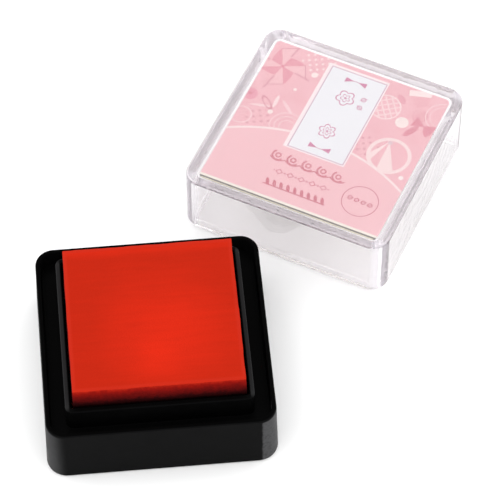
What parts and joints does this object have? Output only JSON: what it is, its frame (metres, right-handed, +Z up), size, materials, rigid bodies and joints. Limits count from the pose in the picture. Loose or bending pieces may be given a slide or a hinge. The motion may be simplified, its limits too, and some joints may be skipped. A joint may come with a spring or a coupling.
{
  "type": "ink pad",
  "caption": "Small square ink pad: a black base holds a raised block of inked foam, and a clear lift-off lid with a printed card lies beside it.",
  "frame": {"origin": "middle of the base tray's underside, on the surface that it stands on", "axes": "+Z up, out of the inked face; +X and +Y along the base's square sides, with the lid lying on the same surface towards +X +Y"},
  "size_m": [0.0809, 0.0861, 0.0185],
  "materials": {
    "black_moulding": "satin",
    "black_cup": "satin",
    "tape": "matte",
    "felt": "matte",
    "inked_foam": "matte",
    "plain_label": "satin",
    "clear_plastic": "polished",
    "clear_film": "gloss",
    "printed_card": "satin"
  },
  "bodies": {
    "base": {"base_tray": "black_moulding", "pad_cup": "black_cup", "felt_tape": "tape", "ink_felt": "felt", "ink_pad": "inked_foam", "base_label": "plain_label"},
    "lid": {"lid_shell": "clear_plastic", "card_film": "clear_film", "label_card": "printed_card"}
  },
  "joints": [
    {"name": "lid_lift", "type": "slide", "parent": "base", "child": "lid", "axis": [0, 0, 1], "range_m": [0, 0.03]}
  ]
}
